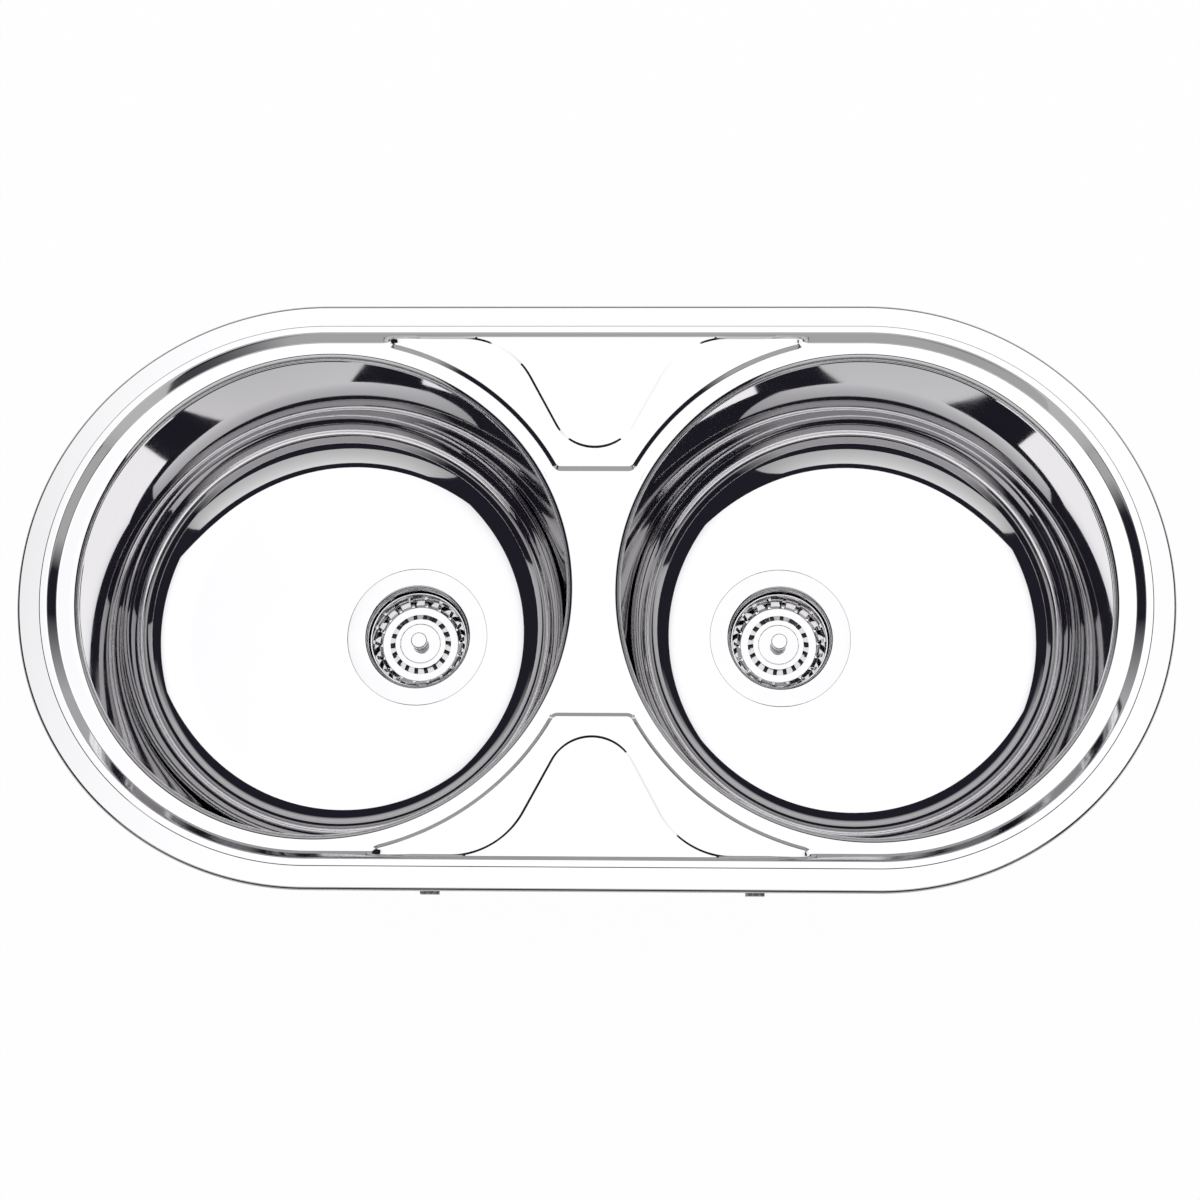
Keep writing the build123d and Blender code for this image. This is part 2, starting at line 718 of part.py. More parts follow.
for number, spot in enumerate(clamp_spots(), start=1):
    bracket_top = spot[2]
    arm_top = bracket_top - bracket_thickness - pivot_gap
    tab_top = arm_top - thread_tab_drop
    tab_bottom = tab_top - arm_sheet - thread_boss_height
    claw_top = tab_bottom - clamp_travel - claw_spare
    claw_bottom = claw_top - claw_sheet
    screw_top = tab_top + clamp_screw_lead
    back = clamp_axis - arm_back
    front = clamp_axis + arm_front

    # Arm: bent strip with a top leg, a long back and a threaded tab, riveted up through the bracket.
    with BuildPart() as clamp_arm:
        with BuildSketch(upright_outward(spot)) as strip:
            with BuildLine():
                Polyline(
                    (front, arm_top),
                    (back, arm_top),
                    (back, arm_top - arm_length),
                    (back + arm_sheet, arm_top - arm_length),
                    (back + arm_sheet, tab_top - arm_sheet),
                    (front, tab_top - arm_sheet),
                    (front, tab_top),
                    (back + arm_sheet, tab_top),
                    (back + arm_sheet, arm_top - arm_sheet),
                    (front, arm_top - arm_sheet),
                    close=True,
                )
            make_face()
            fillet(strip.vertices().sort_by_distance((back, arm_top))[0], arm_bend + arm_sheet)
            inner_bend = (back + arm_sheet, arm_top - arm_sheet)
            fillet(strip.vertices().sort_by_distance(inner_bend)[0], arm_bend)
        extrude(amount=arm_width / 2, both=True)
        with BuildSketch(outward(spot, tab_bottom)):
            with Locations((clamp_axis, 0)):
                Circle(thread_boss_radius)
        extrude(amount=thread_boss_height)
        with BuildSketch(outward(spot, tab_bottom)):
            with Locations((clamp_axis, 0)):
                Circle(clamp_screw_radius + thread_gap)
        extrude(amount=thread_boss_height + arm_sheet, mode=Mode.SUBTRACT)
        with BuildSketch(outward(spot, arm_top)):
            with Locations((clamp_axis, 0)):
                Circle(rivet_radius)
        extrude(amount=bracket_thickness + 2 * pivot_gap)
        with BuildSketch(outward(spot, bracket_top + pivot_gap)):
            with Locations((clamp_axis, 0)):
                Circle(rivet_head_radius)
        extrude(amount=rivet_head_height)
    clamp_arm.part.label = f"clamp_{number}_arm"
    export_step(clamp_arm.part, f"parts/clamp_{number}_arm.step")

    # Claw: a plate forked round the arm's back, with a toothed tip that bites the worktop's underside.
    with BuildPart() as clamp_claw:
        with BuildSketch(outward(spot, claw_bottom)):
            with Locations((clamp_axis - claw_tail, 0)):
                Rectangle(claw_tail + claw_reach, claw_width, align=(Align.MIN, Align.CENTER))
            with Locations((back - loose_gap, 0)):
                slot_length = arm_sheet + 2 * loose_gap
                slot_across = arm_width + 2 * loose_gap
                Rectangle(slot_length, slot_across, align=(Align.MIN, Align.CENTER), mode=Mode.SUBTRACT)
            with Locations((clamp_axis, 0)):
                Circle(clamp_screw_radius + thread_gap, mode=Mode.SUBTRACT)
        extrude(amount=claw_sheet)
        tip_top = claw_bottom + claw_tip_height
        tooth_pitch = claw_width / claw_tooth_count
        tip_points = [(-claw_width / 2, claw_bottom), (-claw_width / 2, tip_top)]
        for tooth in range(claw_tooth_count):
            start = -claw_width / 2 + tooth * tooth_pitch
            tip_points.append((start + claw_tooth_lean * tooth_pitch, tip_top - claw_tooth_height))
            tip_points.append((start + tooth_pitch, tip_top))
        tip_points.append((claw_width / 2, claw_bottom))
        with BuildSketch(upright_facing_out(spot, clamp_axis + claw_reach - claw_sheet)):
            with BuildLine():
                Polyline(*tip_points, close=True)
            make_face()
        extrude(amount=claw_sheet)
    clamp_claw.part.label = f"clamp_{number}_claw"
    export_step(clamp_claw.part, f"parts/clamp_{number}_claw.step")

    # Screw: it turns in the claw and climbs in the arm's threaded tab.
    with BuildPart() as clamp_screw:
        with BuildSketch(outward(spot, screw_top)):
            with Locations((clamp_axis, 0)):
                Circle(clamp_screw_radius)
        extrude(amount=claw_bottom - pivot_gap - screw_top)
        with BuildSketch(outward(spot, claw_bottom - pivot_gap)):
            with Locations((clamp_axis, 0)):
                Circle(clamp_screw_head_radius)
        extrude(amount=-clamp_screw_head_height)
        with BuildSketch(outward(spot, claw_bottom - pivot_gap - clamp_screw_head_height)):
            with Locations((clamp_axis, 0)):
                Rectangle(2 * clamp_screw_head_radius, clamp_slot_width)
        extrude(amount=clamp_screw_head_height / 2, mode=Mode.SUBTRACT)
    clamp_screw.part.label = f"clamp_{number}_screw"
    export_step(clamp_screw.part, f"parts/clamp_{number}_screw.step")
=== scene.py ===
import math

import bmesh
import bpy
import numpy as np
from mathutils import Matrix, Vector
from mathutils.geometry import delaunay_2d_cdt


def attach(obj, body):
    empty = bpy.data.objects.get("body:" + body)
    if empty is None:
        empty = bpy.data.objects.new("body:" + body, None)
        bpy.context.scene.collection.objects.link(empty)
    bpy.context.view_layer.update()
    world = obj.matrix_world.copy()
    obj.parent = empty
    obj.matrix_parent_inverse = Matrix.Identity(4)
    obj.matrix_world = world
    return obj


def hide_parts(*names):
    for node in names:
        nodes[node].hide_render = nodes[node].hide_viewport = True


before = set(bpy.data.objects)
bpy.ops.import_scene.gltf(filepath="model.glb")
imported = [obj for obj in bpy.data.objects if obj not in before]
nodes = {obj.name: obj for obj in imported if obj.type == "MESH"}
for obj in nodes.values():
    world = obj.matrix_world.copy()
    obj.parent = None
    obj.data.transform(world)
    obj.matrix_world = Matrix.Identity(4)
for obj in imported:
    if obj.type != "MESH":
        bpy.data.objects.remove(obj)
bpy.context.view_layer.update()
mm = 0.001
tiny = 1e-9
sides = ((-1, "left"), (1, "right"))


# place in metres, lens and sensor in millimetres
cameraView = {
    "place": (0.0435, -0.3893, 1.5297),
    "forward": (-0.0244, 0.2418, -0.9700),
    "up": (-0.0030, 0.9703, 0.2420),
    "lens": 63.75,
    "sensor": 36.0,
    "clip": (0.05, 60.0),
}


def makeCamera(s):
    data = bpy.data.cameras.new("photoCamera")
    data.lens = s["lens"]
    data.sensor_width = s["sensor"]
    data.clip_start, data.clip_end = s["clip"]
    camera = bpy.data.objects.new("photoCamera", data)
    bpy.context.scene.collection.objects.link(camera)
    back = -Vector(s["forward"]).normalized()
    side = Vector(s["up"]).cross(back).normalized()
    up = back.cross(side)
    camera.matrix_world = Matrix(
        (
            (side.x, up.x, back.x, s["place"][0]),
            (side.y, up.y, back.y, s["place"][1]),
            (side.z, up.z, back.z, s["place"][2]),
            (0, 0, 0, 1),
        )
    )
    bpy.context.scene.camera = camera


def mathNode(tree, operation, *operands, kind="ShaderNodeMath"):
    # the operands are numbers or other nodes' sockets
    node = tree.nodes.new(kind)
    node.operation = operation
    for socket, operand in zip(node.inputs, operands):
        if isinstance(operand, (int, float)):
            socket.default_value = operand
        else:
            tree.links.new(operand, socket)
    return node.outputs[0]


def rangeNode(tree, value, span, levels=(0.0, 1.0)):
    # maps the span of the value to the two levels
    node = tree.nodes.new("ShaderNodeMapRange")
    for label, number in zip(("From Min", "From Max", "To Min", "To Max"), (*span, *levels)):
        node.inputs[label].default_value = number
    tree.links.new(value, node.inputs["Value"])
    return node


def blendColours(tree, factor, *colours):
    # each of the two colours is a value or another node's socket
    node = tree.nodes.new("ShaderNodeMix")
    node.data_type = "RGBA"
    tree.links.new(factor, node.inputs["Factor"])
    for label, colour in zip("AB", colours):
        if isinstance(colour, tuple):
            node.inputs[label].default_value = colour
        else:
            tree.links.new(colour, node.inputs[label])
    return node.outputs["Result"]


def blendShaders(tree, factor, first, second):
    node = tree.nodes.new("ShaderNodeMixShader")
    for socket, source in zip(node.inputs, (factor, first, second)):
        tree.links.new(source, socket)
    return node.outputs[0]


# metres and degrees; the sides and the strip's half width are parts of a unit direction
studio = {
    "white": (1, 1, 1, 1),
    "floorLevel": -0.252,
    "floorSize": 14.0,
    "floorColour": (0.86, 0.86, 0.86, 1),
    "floorRough": 0.9,
    "floorGlow": 0.98,
    "glowElevation": 30.0,
    "glowBlend": 2.0,
    "glow": (0.46, 0.455, 0.46, 1),
    "glowSide": (0.35, 0.65),
    "stripElevation": 14.0,
    "stripHalf": (0.055, 0.03),
    "strip": (0.45, 0.45, 0.45, 1),
    "fill": 0.62,
    "dark": (0.016, 0.0145, 0.022, 1),
    "fadePower": 4.0,
    "topLight": {"low": (-1.19, -0.37), "high": (1.45, 1.30), "level": 1.5, "middle": 1.30, "edge": 1.0},
    "frontCard": {"side": (-0.65, 0.54), "place": -0.35, "low": 0.20, "high": 0.85, "foot": 0.46, "top": 0.86,
                  "sideDrop": 0.3},
}


def makeWorld(s):
    # mirrors see it dark, with a pale strip all round above the horizon and a pale back; what is matt
    # gets an even fill, and the camera sees white
    world = bpy.data.worlds.new("studioSky")
    world.use_nodes = True
    tree = world.node_tree
    tree.nodes.clear()
    add, link = tree.nodes.new, tree.links.new
    coords, split, ramp = add("ShaderNodeTexCoord"), add("ShaderNodeSeparateXYZ"), add("ShaderNodeValToRGB")
    link(coords.outputs["Generated"], split.inputs[0])
    link(split.outputs["Z"], ramp.inputs[0])
    for element, shift, colour in zip(ramp.color_ramp.elements, (-1, 1), (s["glow"], s["dark"])):
        element.position = math.sin(math.radians(s["glowElevation"] + shift * s["glowBlend"]))
        element.color = colour
    back = rangeNode(tree, split.outputs["Y"], s["glowSide"])
    band = blendColours(tree, back.outputs[0], s["dark"], ramp.outputs[0])
    above = mathNode(tree, "SUBTRACT", split.outputs["Z"], math.sin(math.radians(s["stripElevation"])))
    near = rangeNode(tree, mathNode(tree, "ABSOLUTE", above), s["stripHalf"])
    around = blendColours(tree, near.outputs[0], band, s["strip"])
    mirrored, fill, plain = (add("ShaderNodeBackground") for _ in range(3))
    link(around, mirrored.inputs["Color"])
    fill.inputs["Color"].default_value = s["white"]
    fill.inputs["Strength"].default_value = s["fill"]
    plain.inputs["Color"].default_value = s["white"]
    path, out = add("ShaderNodeLightPath"), add("ShaderNodeOutputWorld")
    matt = blendShaders(tree, path.outputs["Is Glossy Ray"], fill.outputs[0], mirrored.outputs[0])
    seen = blendShaders(tree, path.outputs["Is Camera Ray"], matt, plain.outputs[0])
    link(seen, out.inputs["Surface"])
    bpy.context.scene.world = world


def studioQuad(name, corners):
    # a flat face of the studio and the node tree of its material
    mesh = bpy.data.meshes.new(name)
    mesh.from_pydata(corners, [], [(0, 1, 2, 3)])
    quad = bpy.data.objects.new(name, mesh)
    bpy.context.scene.collection.objects.link(quad)
    material = bpy.data.materials.new(name)
    material.use_nodes = True
    mesh.materials.append(material)
    return quad, material.node_tree


def glowPanel(name, corners, axis, span, levels, sideDrop, s):
    # a luminous panel out of the camera's sight: its strength follows the levels along the axis, and
    # drops towards its ends in X
    panel, tree = studioQuad(name, corners)
    panel.visible_camera = False
    tree.nodes.clear()
    add, link = tree.nodes.new, tree.links.new
    coords, split = add("ShaderNodeTexCoord"), add("ShaderNodeSeparateXYZ")
    link(coords.outputs["Object"], split.inputs[0])
    rise = rangeNode(tree, split.outputs[axis], span, levels)
    middle = (corners[0][0] + corners[1][0]) / 2
    half = abs(corners[1][0] - corners[0][0]) / 2
    across = rangeNode(tree, split.outputs["X"], (middle, middle + half))
    across.clamp = False
    fade = mathNode(tree, "POWER", across.outputs[0], s["fadePower"])
    drop = mathNode(tree, "MULTIPLY_ADD", fade, -sideDrop, 1.0)
    strength = mathNode(tree, "MULTIPLY", rise.outputs[0], drop)
    glow, out = add("ShaderNodeEmission"), add("ShaderNodeOutputMaterial")
    glow.inputs["Color"].default_value = s["white"]
    link(strength, glow.inputs["Strength"])
    link(glow.outputs[0], out.inputs["Surface"])


def makeLights(s):
    top, card = s["topLight"], s["frontCard"]
    (x0, y0), (x1, y1), z = top["low"], top["high"], top["level"]
    corners = [(x0, y0, z), (x1, y0, z), (x1, y1, z), (x0, y1, z)]
    middle = top["middle"]
    glowPanel("topLight", corners, "Y", (y0, y1), (middle, middle), 1 - top["edge"] / middle, s)
    (x0, x1), y, z0, z1 = card["side"], card["place"], card["low"], card["high"]
    corners = [(x0, y, z0), (x1, y, z0), (x1, y, z1), (x0, y, z1)]
    glowPanel("frontCard", corners, "Z", (0.0, z1), (card["foot"], card["top"]), card["sideDrop"], s)
    print("studio lights made")


def makeFloor(s):
    # the camera sees it nearly white from above, and it is clear from below
    half, level = s["floorSize"] / 2, s["floorLevel"]
    corners = [(-half, -half, level), (half, -half, level), (half, half, level), (-half, half, level)]
    floor, tree = studioQuad("paleFloor", corners)
    add = tree.nodes.new
    shader = tree.nodes["Principled BSDF"]
    shader.inputs["Base Color"].default_value = s["floorColour"]
    shader.inputs["Roughness"].default_value = s["floorRough"]
    glow, path = add("ShaderNodeEmission"), add("ShaderNodeLightPath")
    glow.inputs["Color"].default_value = s["white"]
    share = mathNode(tree, "MULTIPLY", path.outputs["Is Camera Ray"], s["floorGlow"])
    above = blendShaders(tree, share, shader.outputs[0], glow.outputs[0])
    facing, clear = add("ShaderNodeNewGeometry"), add("ShaderNodeBsdfTransparent")
    sided = blendShaders(tree, facing.outputs["Backfacing"], above, clear.outputs[0])
    tree.links.new(sided, tree.nodes["Material Output"].inputs["Surface"])


noiseDetail = {"tone": 3, "rough": 4, "relief": 2, "roughSpan": (0.3, 0.7)}


def finish(name, s, detail):
    # base colour drifts between two tones, roughness and relief follow finer noise, all in object space
    material = bpy.data.materials.new(name)
    material.use_nodes = True
    tree = material.node_tree
    add, link = tree.nodes.new, tree.links.new
    shader = tree.nodes["Principled BSDF"]
    shader.inputs["Metallic"].default_value = s["metallic"]
    coords, mapping = add("ShaderNodeTexCoord"), add("ShaderNodeMapping")
    mapping.inputs["Scale"].default_value = s.get("stretch", (1, 1, 1))
    link(coords.outputs["Object"], mapping.inputs["Vector"])

    def noise(kind):
        node = add("ShaderNodeTexNoise")
        node.inputs["Scale"].default_value = s[kind + "Scale"]
        node.inputs["Detail"].default_value = detail[kind]
        link(mapping.outputs[0], node.inputs["Vector"])
        return node.outputs["Fac"]

    link(blendColours(tree, noise("tone"), s["colour"], s["tint"]), shader.inputs["Base Color"])
    rough = rangeNode(tree, noise("rough"), detail["roughSpan"], s["rough"])
    link(rough.outputs[0], shader.inputs["Roughness"])
    relief = add("ShaderNodeBump")
    relief.inputs["Strength"].default_value = s["relief"]
    relief.inputs["Distance"].default_value = s["reliefDepth"]
    if s.get("cells"):
        cells = add("ShaderNodeTexVoronoi")
        cells.inputs["Scale"].default_value = s["reliefScale"]
        link(mapping.outputs[0], cells.inputs["Vector"])
        link(cells.outputs["Distance"], relief.inputs["Height"])
    else:
        link(noise("relief"), relief.inputs["Height"])
    link(relief.outputs[0], shader.inputs["Normal"])
    return material


finishes = {
    "polishedSteel": {"colour": (0.81, 0.80, 0.81, 1), "tint": (0.78, 0.775, 0.79, 1), "metallic": 1.0,
                      "toneScale": 6, "rough": (0.015, 0.045), "roughScale": 30,
                      "relief": 0.015, "reliefDepth": 0.001, "reliefScale": 12, "stretch": (1, 1, 0.3)},
    "drawnSteel": {"colour": (0.81, 0.80, 0.81, 1), "tint": (0.77, 0.765, 0.78, 1), "metallic": 1.0,
                   "toneScale": 8, "rough": (0.015, 0.05), "roughScale": 40,
                   "relief": 0.05, "reliefDepth": 0.001, "reliefScale": 16, "stretch": (1, 1, 0.12)},
    "wasteSteel": {"colour": (0.80, 0.79, 0.80, 1), "tint": (0.74, 0.735, 0.75, 1), "metallic": 1.0,
                   "toneScale": 40, "rough": (0.05, 0.12), "roughScale": 160,
                   "relief": 0.05, "reliefDepth": 0.0004, "reliefScale": 120},
    "plainSteel": {"colour": (0.66, 0.66, 0.67, 1), "tint": (0.58, 0.58, 0.60, 1), "metallic": 1.0,
                   "toneScale": 60, "rough": (0.28, 0.42), "roughScale": 300,
                   "relief": 0.12, "reliefDepth": 0.0003, "reliefScale": 700, "stretch": (1, 1, 0.2)},
    "zincPlate": {"colour": (0.70, 0.71, 0.72, 1), "tint": (0.64, 0.63, 0.56, 1), "metallic": 1.0,
                  "toneScale": 90, "rough": (0.22, 0.40), "roughScale": 260,
                  "relief": 0.1, "reliefDepth": 0.0003, "reliefScale": 500},
    "whitePlastic": {"colour": (0.86, 0.86, 0.85, 1), "tint": (0.82, 0.82, 0.80, 1), "metallic": 0.0,
                     "toneScale": 25, "rough": (0.32, 0.46), "roughScale": 200,
                     "relief": 0.15, "reliefDepth": 0.0003, "reliefScale": 900},
    "foamSeal": {"colour": (0.06, 0.06, 0.06, 1), "tint": (0.035, 0.035, 0.037, 1), "metallic": 0.0,
                 "toneScale": 300, "rough": (0.80, 0.95), "roughScale": 400,
                 "relief": 0.6, "reliefDepth": 0.0004, "reliefScale": 1400, "cells": True},
    "plugRubber": {"colour": (0.05, 0.05, 0.055, 1), "tint": (0.035, 0.035, 0.04, 1), "metallic": 0.0,
                   "toneScale": 70, "rough": (0.45, 0.62), "roughScale": 250,
                   "relief": 0.15, "reliefDepth": 0.0002, "reliefScale": 900},
    "dampingPad": {"colour": (0.16, 0.16, 0.17, 1), "tint": (0.11, 0.11, 0.12, 1), "metallic": 0.0,
                   "toneScale": 120, "rough": (0.82, 0.95), "roughScale": 300,
                   "relief": 0.5, "reliefDepth": 0.0005, "reliefScale": 420, "cells": True},
    "turnedBrass": {"colour": (0.78, 0.62, 0.33, 1), "tint": (0.70, 0.53, 0.27, 1), "metallic": 1.0,
                    "toneScale": 80, "rough": (0.18, 0.30), "roughScale": 300,
                    "relief": 0.1, "reliefDepth": 0.0002, "reliefScale": 900, "stretch": (1, 1, 8)},
}
looks = {name: finish(name, s, noiseDetail) for name, s in finishes.items()}


def linkMesh(name, mesh, material):
    piece = bpy.data.objects.new(name, mesh)
    bpy.context.scene.collection.objects.link(piece)
    mesh.materials.clear()
    mesh.materials.append(material)
    return piece


def arcPoints(centre, radius, start, end, steps):
    # points on an arc in the section plane, angles in degrees
    turn = [math.radians(start + (end - start) * i / steps) for i in range(steps + 1)]
    return [(centre[0] + radius * math.cos(t), centre[1] + radius * math.sin(t)) for t in turn]


# millimetres, as in the CAD; levels are heights above the worktop
deckSizes = {
    "halfStraight": 206.0,
    "rimRadius": 224.0,
    "lipBottom": 0.3,
    "lipTop": 3.2,
    "lipRound": 2.4,
    "creaseRadius": 207.0,
    "creaseRise": 0.3,
    "creaseRun": 0.6,
    "creaseRound": 0.25,
    "creaseHalf": 1.4,
    "crestLevel": 4.5,
    "crestRadius": 201.5,
    "stepRun": 6.0,
    "stepDrop": 6.7,
    "stepRound": 2.0,
    "slopeSplit": 199.9,
    "sheet": 0.8,
    "bowlX": 203.0,
    "bowlRadius": 183.0,
    "bowlEdge": 6.0,
    "collarLevel": -10.2,
    "ledgeFront": 94.3,
    "ledgeSide": 198.0,
    "ledgeReach": 156.0,
    "ledgeRise": 3.0,
    "ledgeRun": 2.8,
    "ledgeRound": 1.0,
    "ledgeCorner": 6.0,
    "ledgeTail": 12.0,
    "ledgeFootReach": 175.0,
    "ledgeLines": (0.8, 1.1, 1.4, 1.7, 1.95),
    "tongueTip": 110.9,
    "tongueTipRound": 33.0,
    "tongueLean": 28.0,
    "tongueFlare": 60.0,
    "tongueRise": 0.9,
    "tongueRun": 2.2,
    "tongueRound": 1.5,
    "tongueTail": 70.0,
    "tongueFootReach": 110.0,
    "tongueLines": (0.7, 1.0, 1.25, 1.5),
    "arcSteps": 120,
    "straightSteps": 24,
    "rimSteps": 8,
    "bowlSteps": 150,
    "edgeSteps": 14,
    "bendSteps": 4,
    "ledgeSteps": 90,
    "ledgeCornerSteps": 10,
    "tongueSteps": 40,
    "borderGap": 0.02,
    "borderSlack": 0.01,
    "fieldGrid": 1e-5,
    "weldGrid": 2e-4,
    "slopeStep": 0.01,
}


def filletPath(points, rounds, steps):
    # open path with its inner corners rounded; rounds[i] is the radius at points[i]
    path = [points[0]]
    for i in range(1, len(points) - 1):
        a, b, c = (np.array(points[j], float) for j in (i - 1, i, i + 1))
        r = rounds.get(i, 0)
        if not r:
            path.append(tuple(b))
            continue
        u = (a - b) / np.linalg.norm(a - b)
        v = (c - b) / np.linalg.norm(c - b)
        angle = math.acos(max(-1, min(1, float(u @ v))))
        tangent = r / math.tan(angle / 2)
        centre = b + (u + v) / np.linalg.norm(u + v) * r / math.sin(angle / 2)
        start, end = b + u * tangent - centre, b + v * tangent - centre
        sweep = math.atan2(start[0] * end[1] - start[1] * end[0], float(start @ end))
        for k in range(steps + 1):
            t = sweep * k / steps
            path.append(tuple(centre + np.array((start[0] * math.cos(t) - start[1] * math.sin(t),
                                                 start[0] * math.sin(t) + start[1] * math.cos(t)))))
    path.append(points[-1])
    return path


def pathDistance(px, py, path):
    # distance to an open path, positive on its left
    best = np.full(px.shape, np.inf)
    side = np.ones(px.shape)
    for (ax, ay), (bx, by) in zip(path[:-1], path[1:]):
        dx, dy = bx - ax, by - ay
        t = np.clip(((px - ax) * dx + (py - ay) * dy) / (dx * dx + dy * dy), 0, 1)
        gap = np.hypot(px - ax - t * dx, py - ay - t * dy)
        cross = dx * (py - ay) - dy * (px - ax)
        closer = gap < best - tiny
        best = np.where(closer, gap, best)
        side = np.where(closer, np.sign(cross), side)
    return best * side


def offsetPath(path, amount):
    # each point moved to the left of the path by the amount
    moved = []
    for i, (x, y) in enumerate(path):
        ax, ay = path[max(i - 1, 0)]
        bx, by = path[min(i + 1, len(path) - 1)]
        length = math.hypot(bx - ax, by - ay)
        moved.append((x - (by - ay) / length * amount, y + (bx - ax) / length * amount))
    return moved


def ledgePath(s):
    # quarter outline of the ledge: the middle, the front line, round the bowl, the blunt end
    front, side, bowlX = s["ledgeFront"], s["ledgeSide"], s["bowlX"]
    cornerX = bowlX - math.sqrt(side ** 2 - front ** 2)
    first = math.degrees(math.atan2(front, cornerX - bowlX))
    last = math.degrees(math.acos((s["ledgeReach"] - bowlX) / side))
    around = arcPoints((bowlX, 0), side, first, last, s["ledgeSteps"])
    points = [(0, front), (cornerX, front)] + around[1:]
    points.append((s["ledgeReach"], around[-1][1] + s["ledgeTail"]))
    return filletPath(points, {1: s["ledgeCorner"]}, s["ledgeCornerSteps"])


def tonguePath(s):
    # quarter outline of the tongue: its rounded tip, the flank and the flare into the step
    lean = math.radians(s["tongueLean"])
    stepLine = s["crestRadius"] - s["stepRun"] / 2
    point = s["tongueTip"] + s["tongueTipRound"] - s["tongueTipRound"] / math.sin(lean)
    flankTop = (stepLine - point) * math.tan(lean)
    points = [(-flankTop, stepLine), (0, point), (flankTop, stepLine), (flankTop + s["tongueTail"], stepLine)]
    return filletPath(points, {1: s["tongueTipRound"], 2: s["tongueFlare"]}, s["tongueSteps"])


def softRamp(distance, rise, run, corner):
    # rises from 0 to rise over a run centred on distance 0, both corners rounded
    slope = math.atan2(rise, run)
    t = corner * math.tan(slope / 2)
    low, high = -run / 2, run / 2
    line = (distance - low) * rise / run
    out = np.where(distance <= low, 0.0, np.where(distance >= high, rise, line))
    foot = (distance > low - t) & (distance < low + t * math.cos(slope))
    out = np.where(foot, corner - np.sqrt(np.maximum(corner ** 2 - (distance - low + t) ** 2, 0)), out)
    head = (distance > high - t * math.cos(slope)) & (distance < high + t)
    crown = rise - corner + np.sqrt(np.maximum(corner ** 2 - (high + t - distance) ** 2, 0))
    return np.where(head, crown, out)


def deckHeight(px, py, s, ledge, tongue):
    # height of the sheet's top inside the crest, for the quarter with x and y positive
    px, py = np.abs(px), np.abs(py)
    base = s["crestLevel"] - s["stepDrop"]
    base = base + softRamp(pathDistance(px, py, ledge), s["ledgeRise"], s["ledgeRun"], s["ledgeRound"])
    base = base + softRamp(pathDistance(px, py, tongue), s["tongueRise"], s["tongueRun"], s["tongueRound"])
    radius = np.hypot(np.maximum(px - s["halfStraight"], 0), py)
    pitch = s["stepDrop"] / s["stepRun"]
    slope = math.atan(pitch)
    line = s["crestLevel"] - (s["crestRadius"] - radius) * pitch
    foot = s["crestRadius"] - (s["crestLevel"] - base) / pitch
    r = s["stepRound"]
    t = r * math.tan(slope / 2)
    out = np.where(radius < foot, base, line)
    bend = (radius > foot - t) & (radius < foot + t * math.cos(slope))
    return np.where(bend, base + r - np.sqrt(np.maximum(r ** 2 - (radius - foot + t) ** 2, 0)), out)


def stadiumLoop(s, radius):
    # quarter of the plan at a radius, from the middle of the straight side to the end
    points = [(s["halfStraight"] * i / s["straightSteps"], radius) for i in range(s["straightSteps"])]
    points += arcPoints((s["halfStraight"], 0), radius, 90, 0, s["arcSteps"])
    points[-1] = (points[-1][0], 0.0)
    return points


def rimSection(s):
    # section from the lip's bottom edge over the crest to the split on the step's slope
    crest = s["crestLevel"]
    points = [
        (s["rimRadius"], s["lipBottom"]),
        (s["rimRadius"], s["lipTop"]),
        (s["creaseRadius"], crest - s["creaseRise"]),
        (s["creaseRadius"] - s["creaseRun"], crest),
        (s["crestRadius"], crest),
        (s["crestRadius"] - s["stepRun"], crest - s["stepDrop"]),
    ]
    rounds = {1: s["lipRound"], 2: s["creaseRound"], 3: s["creaseRound"], 4: s["stepRound"]}
    path = filletPath(points, rounds, s["rimSteps"])[:-1]
    split = crest - (s["crestRadius"] - s["slopeSplit"]) * s["stepDrop"] / s["stepRun"]
    return path + [(s["slopeSplit"], split)]

def sectionNormals(section):
    # unit normals of an open section, to the side where the sheet's top is
    normals = []
    for i in range(len(section)):
        a = section[max(i - 1, 0)]
        b = section[min(i + 1, len(section) - 1)]
        dx, dy = b[0] - a[0], b[1] - a[1]
        length = math.hypot(dx, dy)
        normals.append((dy / length, -dx / length))
    return normals


def stripFaces(rows):
    # the quads between neighbouring rows of point numbers
    return [(outer[i], inner[i], inner[i + 1], outer[i + 1])
            for outer, inner in zip(rows[:-1], rows[1:]) for i in range(len(outer) - 1)]


def rimStrips(s):
    # the rim from the lip over the crest to the split
    section = rimSection(s)
    verts, normals, rows = [], [], []
    for (radius, level), (nr, nz) in zip(section, sectionNormals(section)):
        row = []
        for x, y in stadiumLoop(s, radius):
            over = max(x - s["halfStraight"], 0)
            length = math.hypot(over, y)
            row.append(len(verts))
            verts.append((x, y, level))
            normals.append((nr * over / length, nr * y / length, nz))
        rows.append(row)
    return verts, normals, stripFaces(rows)


